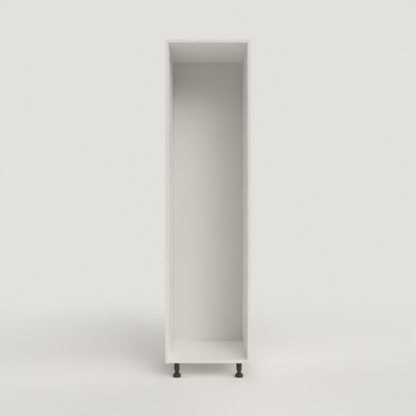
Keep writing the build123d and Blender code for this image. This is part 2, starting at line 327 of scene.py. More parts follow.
# %% Boards
FILM_THICKNESS = 0.00015
FILM_ROUGHNESS = 0.36
FILM_PEBBLES = 1400.0
PEBBLE_BREAKUP = 0.6
PEBBLE_ROUGHNESS = 0.12
CORE_ADDS_ROUGHNESS = 0.45
CORE_RELIEF = 6.0
BOARD_RELIEF = 0.00006
BOARD_BUMP = 0.5
GLUE_LINE = 0.0003
GLUE_SHARE = 0.45


def board_finish(name, axis, low, high, mirrored=False, tone=FILM, warm=FILM_WARM):
    """Melamine-faced board whose faces lie at low and high along one axis."""
    finish = Finish(name)
    depth_axis = finish.along("XYZ"[axis])
    if mirrored:
        depth_axis = abs(depth_axis)
    below_face = (depth_axis - low).lesser(high - depth_axis)
    core = below_face.over(FILM_THICKNESS)
    particles, relief = core_tone(finish, axis, below_face)
    glue = 1 - (finish.along("Y") - BOARD_FRONT).over(GLUE_LINE)
    film = finish.mix(glue * GLUE_SHARE, film_tone(finish, tone, warm), CORE_PALE)
    pebbles = finish.noise(finish.place(), FILM_PEBBLES, roughness=PEBBLE_BREAKUP)
    height = core * relief * CORE_RELIEF + (1 - core) * pebbles
    finish.surface(
        Base_Color=finish.mix(core, film, particles),
        Roughness=core * CORE_ADDS_ROUGHNESS + (FILM_ROUGHNESS + pebbles * PEBBLE_ROUGHNESS),
        Normal=finish.bump(height, BOARD_RELIEF, BOARD_BUMP),
    )
    return finish


def dress(finish, *names):
    """Give CAD nodes a finish in place of their plain one."""
    for name in names:
        slots = nodes[name].data.materials
        slots.clear()
        slots.append(finish.material)
    print(finish.material.name, "on", len(names), "nodes")


side_finish = board_finish("melamine_side", X, side_low.x, side_high.x, mirrored=True)
back_tones = {"tone": BACK_FILM, "warm": BACK_FILM_WARM}
back_finish = board_finish("melamine_back", Y, back_low.y, back_high.y, **back_tones)
rail_finish = board_finish("melamine_rail", Y, rail_low.y, rail_high.y)
dress(side_finish, "left_side_panel", "right_side_panel")
dress(board_finish("melamine_bottom", Z, bottom_low.z, bottom_high.z), "bottom_panel")
dress(board_finish("melamine_top", Z, top_low.z, top_high.z), "top_panel")
dress(rail_finish, "upper_rear_rail", "lower_rear_rail")
dress(back_finish, "back_panel")

# %% [markdown]
# ## Edge bands
# The four front edges carry a plastic band one millimetre thick. It is a touch smoother than the
# film, with very fine lines along its length from the trimming cutter. Each line could be a groove
# in the mesh, but they are finer than a hair, so a noise that is stretched far along the band gives
# them.

# %% Edge bands
BAND_TONE = (0.722, 0.704, 0.673, 1)
BAND_SHADE = (0.705, 0.686, 0.653, 1)
BAND_ROUGHNESS = 0.30
CUTTER_LINES = 1600.0
CUTTER_STRETCH = 0.02
CUTTER_RANGE = (0.45, 0.7)
CUTTER_SHARE = 0.3
CUTTER_ROUGHNESS = 0.14
CUTTER_DEPTH = 0.00003
CUTTER_BUMP = 0.4


def band_finish(name, run):
    """Edging with cutter lines that run along one axis."""
    finish = Finish(name)
    lines = finish.noise(finish.scaled(run, CUTTER_STRETCH), CUTTER_LINES)
    finish.surface(
        Base_Color=finish.mix(lines.ramp(*CUTTER_RANGE) * CUTTER_SHARE, BAND_TONE, BAND_SHADE),
        Roughness=BAND_ROUGHNESS + lines * CUTTER_ROUGHNESS,
        Normal=finish.bump(lines, CUTTER_DEPTH, CUTTER_BUMP),
    )
    return finish


dress(band_finish("edging_upright", Z), "left_edge_band", "right_edge_band")
dress(band_finish("edging_level", X), "top_edge_band", "bottom_edge_band")

# %% [markdown]
# ## Metal fittings
# The cams are cast zinc, dull and a little grainy. The bolts and screws are steel with a bright
# zinc plating. Both are metals, so their colour is the colour of their reflection. A mirror-smooth
# metal would look like chrome: a mottled noise breaks up the tone and the roughness, fine for the
# casting and a little coarser for the plating.

# %% Metal fittings
PLATING = (0.70, 0.69, 0.66, 1)
PLATING_WORN = (0.52, 0.51, 0.48, 1)
PLATING_GRAIN = 700.0
PLATING_ROUGHNESS = 0.22
CASTING = (0.56, 0.56, 0.55, 1)
CASTING_WORN = (0.40, 0.40, 0.39, 1)
CASTING_GRAIN = 1100.0
CASTING_ROUGHNESS = 0.38
MOTTLE_DETAIL = 4.0
MOTTLE_BREAKUP = 0.65
MOTTLE_RANGE = (0.35, 0.7)
MOTTLE_ROUGHNESS = 0.25
METAL_RELIEF = 0.00005
METAL_BUMP = 0.4


def metal_finish(name, tone, worn, grain, rough):
    """Metal with a mottled tone."""
    finish = Finish(name)
    mottle = finish.noise(finish.place(), grain, MOTTLE_DETAIL, MOTTLE_BREAKUP)
    finish.surface(
        Base_Color=finish.mix(mottle.ramp(*MOTTLE_RANGE), tone, worn),
        Metallic=1.0,
        Roughness=rough + mottle * MOTTLE_ROUGHNESS,
        Normal=finish.bump(mottle, METAL_RELIEF, METAL_BUMP),
    )
    return finish


plating_tones = (PLATING, PLATING_WORN)
casting_tones = (CASTING, CASTING_WORN)
zinc_plating = metal_finish("zinc_plating", *plating_tones, PLATING_GRAIN, PLATING_ROUGHNESS)
cast_zinc = metal_finish("cast_zinc", *casting_tones, CASTING_GRAIN, CASTING_ROUGHNESS)
dress(zinc_plating, "cam_bolts", "leg_fixing_screws")
dress(cast_zinc, "cam_locks")

# %% [markdown]
# ## Beech dowels
# The dowels are beech, with short dark flecks along the grain. They sit in the joints and are seen
# only when the carcass is taken apart, so a noise drawn out along the dowel is enough for the
# grain.

# %% Beech dowels
BEECH = (0.62, 0.43, 0.26, 1)
BEECH_FLECK = (0.42, 0.26, 0.14, 1)
BEECH_ROUGHNESS = 0.55
FLECK_SIZE = 900.0
FLECK_STRETCH = 0.15
FLECK_DETAIL = 3.0
FLECK_RANGE = (0.4, 0.65)
FLECK_ROUGHNESS = 0.2
FLECK_DEPTH = 0.00008
FLECK_BUMP = 0.6

beech = Finish("beech")
flecks = beech.noise(beech.scaled(X, FLECK_STRETCH), FLECK_SIZE, FLECK_DETAIL)
beech.surface(
    Base_Color=beech.mix(flecks.ramp(*FLECK_RANGE), BEECH, BEECH_FLECK),
    Roughness=BEECH_ROUGHNESS + flecks * FLECK_ROUGHNESS,
    Normal=beech.bump(flecks, FLECK_DEPTH, FLECK_BUMP),
)
dress(beech, "corner_dowels", "rail_dowels")

# %% [markdown]
# ## Black moulded plastic
# The legs are moulded in black polypropylene. It isn't pure black: it has a soft sheen, a fine
# spark-eroded grain and slightly paler scuffs. The grain could be modelled only at a huge cost, so
# it is bump. The scuffs are a second noise that lifts colour and roughness together, as rubbing
# does.

# %% Black plastic
LEG_NAMES = ["front_left", "front_right", "rear_left", "rear_right"]
PLASTIC = (0.030, 0.0285, 0.0275, 1)
PLASTIC_SCUFF = (0.062, 0.059, 0.056, 1)
PLASTIC_ROUGHNESS = 0.36
MOULD_GRAIN = 2200.0
GRAIN_BREAKUP = 0.6
GRAIN_ROUGHNESS = 0.12
MOULD_RELIEF = 0.00004
MOULD_BUMP = 0.5
SCUFF_SIZE = 160.0
SCUFF_DETAIL = 5.0
SCUFF_BREAKUP = 0.7
SCUFF_RANGE = (0.55, 0.8)
SCUFF_SHARE = 0.5
SCUFF_ROUGHNESS = 0.15

plastic = Finish("moulded_plastic")
grain = plastic.noise(plastic.place(), MOULD_GRAIN, roughness=GRAIN_BREAKUP)
rubbing = plastic.noise(plastic.place(), SCUFF_SIZE, SCUFF_DETAIL, SCUFF_BREAKUP)
scuffs = rubbing.ramp(*SCUFF_RANGE)
plastic.surface(
    Base_Color=plastic.mix(scuffs * SCUFF_SHARE, PLASTIC, PLASTIC_SCUFF),
    Roughness=PLASTIC_ROUGHNESS + grain * GRAIN_ROUGHNESS + scuffs * SCUFF_ROUGHNESS,
    Normal=plastic.bump(grain, MOULD_RELIEF, MOULD_BUMP),
)
for leg in LEG_NAMES:
    dress(plastic, "leg_plate_" + leg, "leg_tube_" + leg, "adjusting_screw_" + leg, "foot_" + leg)

# %% [markdown]
# ## Working in edit mode
# The legs, the screws and the cams are turned, moulded or cast, so they are modelled again with
# what a mould or a die gives: threads, grip notches, ribs and softened edges. They could be
# computed point by point, but then nothing of it could be done again by hand. Each starts as a
# primitive and is shaped in edit mode. Edit mode acts on what is selected, so these helpers open
# one piece alone and pick faces by place and direction. A face counts as level when its normal is
# nearly all Z, and as upright when it has next to none. A slice keeps whatever lies within its
# tolerance as it is, and the usual tenth of a millimetre is too coarse for a thread.

# %% Open a piece and pick its faces
NEAR = 1e-5
SLICE_TOLERANCE = 1e-7
LEVEL_FACE = 0.9
UPRIGHT_FACE = 0.1


def select_alone(piece):
    """Select one piece and nothing else."""
    bpy.ops.object.select_all(action="DESELECT")
    piece.select_set(True)
    bpy.context.view_layer.objects.active = piece


def begin_edit(piece):
    """Open one piece alone in edit mode."""
    select_alone(piece)
    bpy.ops.object.mode_set(mode="EDIT")


def end_edit():
    bpy.ops.object.mode_set(mode="OBJECT")


def pick_faces(test):
    """Select the faces whose middle and normal pass a test."""
    bpy.ops.mesh.select_mode(type="FACE")
    bpy.ops.mesh.select_all(action="DESELECT")
    mesh = bmesh.from_edit_mesh(bpy.context.object.data)
    for face in mesh.faces:
        face.select_set(test(face.calc_center_median(), face.normal))
    bmesh.update_edit_mesh(bpy.context.object.data)


def push(x=0.0, y=0.0, z=0.0):
    """Extrude what is selected by a distance."""
    bpy.ops.mesh.extrude_region_move(TRANSFORM_OT_translate={"value": (x, y, z)})


def slice_level(height, **settings):
    """Cut the whole piece at a height."""
    bpy.ops.mesh.select_all(action="SELECT")
    plane = {"plane_co": (0, 0, height), "plane_no": (0, 0, 1)}
    bpy.ops.mesh.bisect(**plane, threshold=SLICE_TOLERANCE, **settings)


print("picking to", NEAR, "m")

# %% [markdown]
# ## The axis of one leg
# All four legs are the same, so each piece is modelled once, on the axis of the front left leg, and
# then copied. The axis and the main sizes come from the boxes of that leg's CAD nodes. Most pieces
# start as a round blank on this axis, or as a block, which is a cube brought to its size.

# %% Axis of the pattern leg, and blanks
def leg_axis(leg):
    """The point on the floor in the middle of a leg's foot."""
    low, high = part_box("foot_" + leg)
    return Vector(((low.x + high.x) / 2, (low.y + high.y) / 2, 0))


AXIS = leg_axis("front_left")
ROUND_STEPS = 96
STEP_ANGLE = 360 / ROUND_STEPS


def settle(piece):
    """Put a piece's place, turn and size into its mesh."""
    select_alone(piece)
    bpy.ops.object.transform_apply(location=True, rotation=True, scale=True)


def add_round(name, radius, low, high, steps=ROUND_STEPS, beside=(0, 0)):
    """Add a closed cylinder between two heights, on the axis or beside it."""
    bpy.ops.object.select_all(action="DESELECT")
    place = (AXIS.x + beside[0], AXIS.y + beside[1], (low + high) / 2)
    size = {"radius": radius, "depth": high - low}
    bpy.ops.mesh.primitive_cylinder_add(vertices=steps, location=place, **size)
    piece = bpy.context.object
    piece.name = name
    settle(piece)
    return piece


def add_block(name, low, high):
    """Add a block between its lowest and its highest corner."""
    bpy.ops.object.select_all(action="DESELECT")
    bpy.ops.mesh.primitive_cube_add(size=1, location=(Vector(low) + Vector(high)) / 2)
    piece = bpy.context.object
    piece.name = name
    piece.scale = Vector(high) - Vector(low)
    settle(piece)
    return piece


def off_axis(point):
    """Distance of a point from the axis of the pattern leg."""
    return math.hypot(point.x - AXIS.x, point.y - AXIS.y)


def off_spoke(point, spokes):
    """Degrees between a point and the nearest of some evenly spaced spokes about the axis."""
    bearing = math.degrees(math.atan2(point.y - AXIS.y, point.x - AXIS.x))
    spacing = 360 / spokes
    return abs((bearing + spacing / 2) % spacing - spacing / 2)


print("leg axis", round(AXIS.x, 4), round(AXIS.y, 4))

# %% [markdown]
# ## The foot from the outside
# The foot is a round moulding with a rounded shoulder and sixteen grip notches for turning it by
# hand. It could be turned from a half section, but the notches and the ribs below aren't round, so
# it starts as a cylinder of 96 sides: sixteen notches and six ribs both fall on whole sides. The
# shoulder is the top face, pushed up and shrunk in small steps that follow a quarter circle.

# %% Foot from the outside
foot_low, foot_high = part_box("foot_front_left")
FOOT_RADIUS = (foot_high.x - foot_low.x) / 2
FOOT_TOP = foot_high.z
FOOT_SHOULDER = 0.008
SHOULDER_STEPS = 6
RIM_TOP = FOOT_TOP - FOOT_SHOULDER
GRIP_NOTCHES = 16
GRIP_EDGE = 0.002
GRIP_DEPTH = 0.0012


def shoulder_point(step):
    """Radius and height of the shoulder after some of its steps."""
    turn = QUARTER_TURN * step / SHOULDER_STEPS
    radius = FOOT_RADIUS - FOOT_SHOULDER * (1 - math.cos(turn))
    height = RIM_TOP + FOOT_SHOULDER * math.sin(turn)
    return radius, height


foot = add_round("foot_pattern", FOOT_RADIUS, 0, RIM_TOP)
begin_edit(foot)
slice_level(GRIP_EDGE)
slice_level(RIM_TOP - GRIP_EDGE)
pick_faces(lambda middle, normal: normal.z > LEVEL_FACE)
for step in range(SHOULDER_STEPS):
    old_radius, old_height = shoulder_point(step)
    new_radius, new_height = shoulder_point(step + 1)
    push(z=new_height - old_height)
    taper = new_radius / old_radius
    bpy.ops.transform.resize(value=(taper, taper, 1), center_override=AXIS)
pick_faces(
    lambda middle, normal: abs(normal.z) < UPRIGHT_FACE
    and GRIP_EDGE < middle.z < RIM_TOP - GRIP_EDGE
    and off_spoke(middle, GRIP_NOTCHES) < STEP_ANGLE
)
bpy.ops.mesh.extrude_region_shrink_fatten(TRANSFORM_OT_shrink_fatten={"value": -GRIP_DEPTH})
end_edit()
print("foot outside", len(foot.data.polygons), "faces")

# %% [markdown]
# ## The foot from above and below
# On top the foot has a round socket for the adjusting screw. Its underside is hollow and stiffened
# by six ribs, so that the moulding cools without sinking. Cutting these out with other solids would
# work, but the cylinder's own faces are already there: each end is inset to a ring, and the ring's
# faces are pushed in. A small bevel then rounds every sharp edge, and the finished foot is copied
# to the four legs.

# %% Foot from above and below
SPIGOT_RADIUS = 0.0065
RUNNING_PLAY = 0.0003
SOCKET_RADIUS = SPIGOT_RADIUS + RUNNING_PLAY
SOCKET_DEPTH = 0.0093
FOOT_WALL = 0.0035
HUB_WALL = 0.003
HUB_RADIUS = SOCKET_RADIUS + HUB_WALL
FOOT_RECESS = 0.007
FOOT_RIBS = 6

begin_edit(foot)
pick_faces(lambda middle, normal: normal.z > LEVEL_FACE and middle.z > FOOT_TOP - NEAR)
bpy.ops.mesh.inset(thickness=FOOT_RADIUS - FOOT_SHOULDER - SOCKET_RADIUS)
push(z=-SOCKET_DEPTH)
pick_faces(lambda middle, normal: normal.z < -LEVEL_FACE and middle.z < NEAR)
bpy.ops.mesh.inset(thickness=FOOT_WALL)
bpy.ops.mesh.inset(thickness=FOOT_RADIUS - FOOT_WALL - HUB_RADIUS)
pick_faces(
    lambda middle, normal: middle.z < NEAR
    and HUB_RADIUS < off_axis(middle) < FOOT_RADIUS - FOOT_WALL
    and off_spoke(middle, FOOT_RIBS) > STEP_ANGLE
)
push(z=FOOT_RECESS)
end_edit()
print("foot with socket and ribs", len(foot.data.polygons), "faces")

# %% Softened edges
SHARP_ANGLE = math.radians(35)
FOOT_ROUNDING = 0.0004


def apply_modifier(piece, kind, **settings):
    """Add a modifier to a piece and apply it."""
    select_alone(piece)
    modifier = piece.modifiers.new(kind.lower(), kind)
    for key, value in settings.items():
        setattr(modifier, key, value)
    bpy.ops.object.modifier_apply(modifier=modifier.name)


def soften(piece, width, segments=2):
    """Round every sharp edge, as a mould does, and shade the rest smooth."""
    sharp_only = {"limit_method": "ANGLE", "angle_limit": SHARP_ANGLE}
    apply_modifier(piece, "BEVEL", width=width, segments=segments, **sharp_only)
    bpy.ops.object.shade_smooth_by_angle(angle=SHARP_ANGLE)


soften(foot, FOOT_ROUNDING, segments=3)
print("softened foot", len(foot.data.polygons), "faces")

# %% Copies for the four legs
NO_TURN = (0, 0, 0)


def copy_at(pattern, shift, turn=NO_TURN):
    """Copy a pattern with a mesh of its own, shifted and turned."""
    select_alone(pattern)
    bpy.ops.object.duplicate()
    piece = bpy.context.object
    piece.location = shift
    piece.rotation_euler = turn
    settle(piece)
    return piece


def copy_to_legs(pattern, name, node, body):
    """Copy a finished piece to all four legs, each in place of its CAD node."""
    pattern.data.materials.append(plastic.material)
    for leg in LEG_NAMES:
        piece = copy_at(pattern, leg_axis(leg) - AXIS)
        piece.name = name + "_" + leg
        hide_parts(node + "_" + leg)
        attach(piece, body.format(leg))
    print(name, len(pattern.data.polygons), "faces on", len(LEG_NAMES), "legs")
    bpy.data.objects.remove(pattern)


copy_to_legs(foot, "moulded_foot", "foot", "foot_{}")

# %% [markdown]
# ## The thread of the adjusting screw
# The screw has a coarse thread of four millimetres to the turn, so one turn lifts the foot by four
# millimetres. A stack of rings would look like a thread from afar, but the real one climbs. One
# tooth of its profile is drawn from a single point, its corners are rounded, and the Screw modifier
# winds it up the axis. The winding starts more than a turn too low and ends too high, so that a
# slice at each end finds the thread whole. The two slices cut it to length and close it.

# %% Thread of the adjusting screw
screw_low, screw_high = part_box("adjusting_screw_front_left")
THREAD_PITCH = 0.004
THREAD_CREST = (screw_high.x - screw_low.x) / 2
THREAD_DEPTH = 0.0012
THREAD_FLANK = 0.0006
THREAD_FLAT = THREAD_PITCH / 2 - THREAD_FLANK
THREAD_ROUNDING = 0.00018
THREAD_RUN_IN = 0.0052
THREAD_STEPS = 64
SPARE_TURNS = 2
thread_turns = math.ceil((screw_high.z - FOOT_TOP) / THREAD_PITCH) + SPARE_TURNS

bpy.ops.object.select_all(action="DESELECT")
bpy.ops.mesh.primitive_plane_add(size=THREAD_PITCH, location=AXIS)
screw = bpy.context.object
screw.name = "screw_pattern"
begin_edit(screw)
bpy.ops.mesh.select_mode(type="VERT")
bpy.ops.mesh.select_all(action="SELECT")
bpy.ops.mesh.merge(type="CENTER")
bpy.ops.transform.translate(value=(THREAD_CREST - THREAD_DEPTH, 0, FOOT_TOP - THREAD_RUN_IN))
push(z=THREAD_FLAT)
push(x=THREAD_DEPTH, z=THREAD_FLANK)
push(z=THREAD_FLAT)
push(x=-THREAD_DEPTH, z=THREAD_FLANK)
bpy.ops.mesh.select_all(action="SELECT")
bpy.ops.mesh.bevel(affect="VERTICES", offset=THREAD_ROUNDING, segments=2)
end_edit()
print("thread profile", len(screw.data.vertices), "points")

# %% Thread wound up and cut to length
MERGE_DISTANCE = 1e-6


def close_shell():
    """Merge doubled points and turn every face outwards."""
    bpy.ops.mesh.select_all(action="SELECT")
    bpy.ops.mesh.remove_doubles(threshold=MERGE_DISTANCE)
    bpy.ops.mesh.normals_make_consistent(inside=False)


apply_modifier(
    screw,
    "SCREW",
    screw_offset=THREAD_PITCH,
    iterations=thread_turns,
    steps=THREAD_STEPS,
    render_steps=THREAD_STEPS,
)
settle(screw)
begin_edit(screw)
close_shell()
slice_level(screw_high.z, use_fill=True, clear_outer=True)
slice_level(FOOT_TOP, use_fill=True, clear_inner=True)
close_shell()
end_edit()
print("thread", thread_turns, "turns", len(screw.data.polygons), "faces")

# %% [markdown]
# ## The spigot and the bore
# Below its thread the screw has a spigot that turns in the socket of the foot, and it is hollow
# from above, which saves plastic. The thread leaves no clean ring of faces at its ends to push in
# or out, so the spigot and the bore are plain solids, one added and one cut away.

# %% Spigot and bore of the adjusting screw
SCREW_BORE = 0.0095
SCREW_FLOOR = 0.006
OVERLAP = 0.001
THREAD_SHADING = math.radians(50)


def combine(piece, tool, operation):
    """Add a tool's solid to a piece, or cut it away, and remove the tool."""
    apply_modifier(piece, "BOOLEAN", object=tool, operation=operation, solver="EXACT")
    bpy.data.objects.remove(tool)


spigot = add_round("spigot", SPIGOT_RADIUS, screw_low.z, FOOT_TOP + OVERLAP)
combine(screw, spigot, "UNION")
bore = add_round("bore", SCREW_BORE, FOOT_TOP + SCREW_FLOOR, screw_high.z + OVERLAP)
combine(screw, bore, "DIFFERENCE")
bpy.ops.object.shade_smooth_by_angle(angle=THREAD_SHADING)
copy_to_legs(screw, "threaded_screw", "adjusting_screw", "screw_{}")

# %% [markdown]
# ## The tube
# The tube is a plain moulded pipe with a small lip round its lower end, and the screw runs inside
# it. Cutting one cylinder out of another would do, but a pipe is simpler by hand: both ends are
# inset to the bore, opened, and bridged. A slice near the lower end marks the lip, which is swelled
# out.

# %% Tube
tube_low, tube_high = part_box("leg_tube_front_left")
TUBE_LIP = 0.0005
TUBE_LIP_HEIGHT = 0.005
TUBE_RADIUS = (tube_high.x - tube_low.x) / 2 - TUBE_LIP
TUBE_BORE = THREAD_CREST + RUNNING_PLAY
TUBE_WALL_MIDDLE = (TUBE_RADIUS + TUBE_BORE) / 2
TUBE_ROUNDING = 0.0002


def pick_edges(test):
    """Select the edges whose two ends pass a test."""
    bpy.ops.mesh.select_mode(type="EDGE")
    bpy.ops.mesh.select_all(action="DESELECT")
    mesh = bmesh.from_edit_mesh(bpy.context.object.data)
    for edge in mesh.edges:
        edge.select_set(test(edge.verts[0].co, edge.verts[1].co))
    bmesh.update_edit_mesh(bpy.context.object.data)


tube = add_round("tube_pattern", TUBE_RADIUS, tube_low.z, tube_high.z)
begin_edit(tube)
pick_faces(lambda middle, normal: abs(normal.z) > LEVEL_FACE)
bpy.ops.mesh.inset(thickness=TUBE_RADIUS - TUBE_BORE)
bpy.ops.mesh.delete(type="FACE")
pick_edges(lambda a, b: max(off_axis(a), off_axis(b)) < TUBE_BORE + NEAR)
bpy.ops.mesh.bridge_edge_loops()
slice_level(tube_low.z + TUBE_LIP_HEIGHT)
pick_faces(
    lambda middle, normal: abs(normal.z) < UPRIGHT_FACE
    and middle.z < tube_low.z + TUBE_LIP_HEIGHT
    and off_axis(middle) > TUBE_WALL_MIDDLE
)
bpy.ops.mesh.extrude_region_shrink_fatten(TRANSFORM_OT_shrink_fatten={"value": TUBE_LIP})
close_shell()
end_edit()
soften(tube, TUBE_ROUNDING)
copy_to_legs(tube, "moulded_tube", "leg_tube", "carcass")

# %% [markdown]
# ## The plate
# The plate is screwed under the cabinet. It is a square flange with rounded corners and a collar
# that grips the tube. Pushing a square face into a round collar would leave a bad web of faces, so
# the flange and the collar are separate solids that are added up.

# %% Flange and collar of the plate
plate_low, plate_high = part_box("leg_plate_front_left")
PLATE_THICKNESS = 0.0035
PLATE_CORNER = 0.008
PLATE_FACE = plate_high.z - PLATE_THICKNESS
COLLAR_WALL = 0.003
TUBE_PLAY = 0.00005
TUBE_SEAT = TUBE_RADIUS + TUBE_PLAY
COLLAR = TUBE_SEAT + COLLAR_WALL

plate = add_block("plate_pattern", (plate_low.x, plate_low.y, PLATE_FACE), plate_high)
begin_edit(plate)
pick_edges(lambda a, b: abs(a.z - b.z) > PLATE_THICKNESS / 2)
bpy.ops.mesh.bevel(offset=PLATE_CORNER, segments=8)
end_edit()
combine(plate, add_round("collar", COLLAR, plate_low.z, PLATE_FACE + OVERLAP), "UNION")
print("flange and collar", len(plate.data.polygons), "faces")

# %% [markdown]
# ## Gussets, seat and holes of the plate
# Four sloping gussets between collar and flange keep the collar from bending. Each is a block whose
# outer lower edge is lifted to the flange, turned to its quarter and added. It stops a little short
# of the collar's end, because two faces in one plane don't add up cleanly. The seat of the tube and
# the four screw holes are cut out last, so that no gusset reaches into them.

# %% Gussets, seat and holes of the plate
GUSSETS = 4
GUSSET_THICKNESS = 0.0026
GUSSET_EDGE = 0.003
GUSSET_SHORT = 0.0006
GUSSET_FOOT = plate_low.z + GUSSET_SHORT
GUSSET_START = COLLAR - COLLAR_WALL / 2
GUSSET_TIP = (plate_high.x - plate_low.x) / 2 - GUSSET_EDGE
FIXING_HALF = 0.022
FIXING_CLEAR = 0.00185
FIXING_SPOTS = [(x, y) for x in (-FIXING_HALF, FIXING_HALF) for y in (-FIXING_HALF, FIXING_HALF)]
SMALL_STEPS = 24
PLATE_ROUNDING = 0.0004

gusset_low = (AXIS.x + GUSSET_START, AXIS.y - GUSSET_THICKNESS / 2, GUSSET_FOOT)
gusset_high = (AXIS.x + GUSSET_TIP, AXIS.y + GUSSET_THICKNESS / 2, PLATE_FACE + OVERLAP)
for number in range(GUSSETS):
    gusset = add_block("gusset", gusset_low, gusset_high)
    begin_edit(gusset)
    pick_edges(lambda a, b: max(a.z, b.z) < PLATE_FACE and min(a.x, b.x) > gusset_high[X] - NEAR)
    bpy.ops.transform.translate(value=(0, 0, PLATE_FACE - GUSSET_FOOT))
    bpy.ops.mesh.select_all(action="SELECT")
    turn = math.radians(360 / GUSSETS * number)
    bpy.ops.transform.rotate(value=turn, orient_axis="Z", center_override=AXIS)
    end_edit()
    combine(plate, gusset, "UNION")
combine(plate, add_round("seat", TUBE_SEAT, plate_low.z - OVERLAP, PLATE_FACE), "DIFFERENCE")
hole_ends = (PLATE_FACE - OVERLAP, plate_high.z + OVERLAP)
for spot in FIXING_SPOTS:
    hole = add_round("hole", FIXING_CLEAR, *hole_ends, SMALL_STEPS, spot)
    combine(plate, hole, "DIFFERENCE")
soften(plate, PLATE_ROUNDING)
copy_to_legs(plate, "moulded_plate", "leg_plate", "carcass")

# %% [markdown]
# ## The plate screws
# Four pan-head screws hold each plate, sixteen in all. Each head is domed and has a cross recess
# for the driver. The dome is a bevel on the rim of a short cylinder. The recess could be drawn as a
# dark cross in the finish, but a driver would find nothing there, so two crossed blades are cut out
# of the head.

# %% One pan-head screw
HEAD_RADIUS = 0.0035
HEAD_HEIGHT = 0.0024
HEAD_DOME = 0.0016
HEAD_STEPS = 32
SHANK_RADIUS = 0.0017
SHANK_LENGTH = 0.0155
RECESS_REACH = 0.0019
RECESS_WIDTH = 0.0008
RECESS_DEPTH = 0.0013
METAL_ROUNDING = 0.0001


def cut_cross(piece, middle, reach, width, depth):
    """Cut a cross recess for a driver, as two blades that go in to both sides of a point."""
    for x, y in ((reach, width / 2), (width / 2, reach)):
        blade = Vector((x, y, depth))
        combine(piece, add_block("blade", middle - blade, middle + blade), "DIFFERENCE")


first_spot = FIXING_SPOTS[0]
head_low = PLATE_FACE - HEAD_HEIGHT
pan_screw = add_round("pan_screw", HEAD_RADIUS, head_low, PLATE_FACE, HEAD_STEPS, first_spot)
begin_edit(pan_screw)
pick_edges(lambda a, b: max(a.z, b.z) < head_low + NEAR)
bpy.ops.mesh.bevel(offset=HEAD_DOME, segments=5)
end_edit()
shank_ends = (PLATE_FACE - OVERLAP, PLATE_FACE + SHANK_LENGTH)
shank = add_round("shank", SHANK_RADIUS, *shank_ends, SMALL_STEPS, first_spot)
combine(pan_screw, shank, "UNION")
head_middle = AXIS + Vector((*first_spot, head_low))
cut_cross(pan_screw, head_middle, RECESS_REACH, RECESS_WIDTH, RECESS_DEPTH)
soften(pan_screw, METAL_ROUNDING, segments=1)
print("pan screw", len(pan_screw.data.polygons), "faces")

# %% [markdown]
# ## All sixteen screws
# The screw is copied to every hole of every plate. As sixteen objects the screws would crowd the
# outliner, and they never move apart, so the copies are joined to one piece that stands for the
# screws of the CAD model.

# %% All sixteen screws
def copy_and_join(pattern, name, finish, spots):
    """Copy a pattern to each spot, given as a place and a turn, and join the copies to one piece."""
    pattern.data.materials.append(finish.material)
    copies = [copy_at(pattern, place, turn) for place, turn in spots]
    bpy.data.objects.remove(pattern)
    select_alone(copies[0])
    for other in copies[1:]:
        other.select_set(True)
    bpy.ops.object.join()
    piece = bpy.context.object
    piece.name = name
    print(name, len(copies), "copies", len(piece.data.polygons), "faces")
    return piece


screw_spots = []
for leg in LEG_NAMES:
    to_leg = leg_axis(leg) - AXIS
    for x, y in FIXING_SPOTS:
        to_hole = Vector((x - first_spot[X], y - first_spot[Y], 0))
        screw_spots.append((to_leg + to_hole, NO_TURN))
plate_screws = copy_and_join(pan_screw, "plate_screws", zinc_plating, screw_spots)
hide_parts("leg_fixing_screws")
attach(plate_screws, "carcass")

# %% [markdown]
# ## The cam locks
# A cam lock is a drum of cast zinc, sunk in the top or the bottom board. A driver turns it by the
# cross in its face, and its claw then pulls in the head of a bolt that stands in the side panel. An
# arrow on the face shows where the claw opens. The drum is a cylinder with an eased rim, and the
# claw, the cross and the arrow are cut out. The pattern stands at the origin with its claw towards
# +X, so that a copy can be turned about its own middle.

# %% One cam lock
cam_low, cam_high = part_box("cam_locks")
CAM_RADIUS = 0.0075
CAM_HEIGHT = 0.0125
CAM_STEPS = 64
CAM_RIM = 0.0004
CLAW_HALF = 0.0037
CLAW_TOP = -0.0053
CAM_CROSS_REACH = 0.0045
CAM_CROSS_WIDTH = 0.0016
CAM_CROSS_DEPTH = 0.0018
ARROW_CORNERS = 3
ARROW_SIZE = 0.0013
ARROW_DEPTH = 0.0003
ARROW_FROM_MIDDLE = 0.0057

cam = add_round("cam_pattern", CAM_RADIUS, -CAM_HEIGHT, 0, CAM_STEPS, -AXIS.xy)
begin_edit(cam)
pick_edges(lambda a, b: min(a.z, b.z) > -NEAR)
bpy.ops.mesh.bevel(offset=CAM_RIM, segments=3)
end_edit()
claw_low = (-CLAW_HALF, -CLAW_HALF, -CAM_HEIGHT - OVERLAP)
claw_high = (CAM_RADIUS + OVERLAP, CLAW_HALF, CLAW_TOP)
combine(cam, add_block("claw", claw_low, claw_high), "DIFFERENCE")
cut_cross(cam, Vector((0, 0, 0)), CAM_CROSS_REACH, CAM_CROSS_WIDTH, CAM_CROSS_DEPTH)
arrow = add_round("arrow", ARROW_SIZE, -ARROW_DEPTH, ARROW_DEPTH, ARROW_CORNERS, -AXIS.xy)
arrow.rotation_euler = (0, 0, -QUARTER_TURN)
arrow.location = (ARROW_FROM_MIDDLE, 0, 0)
settle(arrow)
combine(cam, arrow, "DIFFERENCE")
soften(cam, METAL_ROUNDING, segments=1)
print("cam lock", len(cam.data.polygons), "faces")

# %% [markdown]
# ## All eight cams
# There are two cams at each end of the top and of the bottom. The claw opens towards the side
# panel, and the face looks up on the top board and down under the bottom board. Mirroring the
# pattern would turn its faces inside out, so each copy is turned instead: about X to look down, and
# about Z to face the other side.

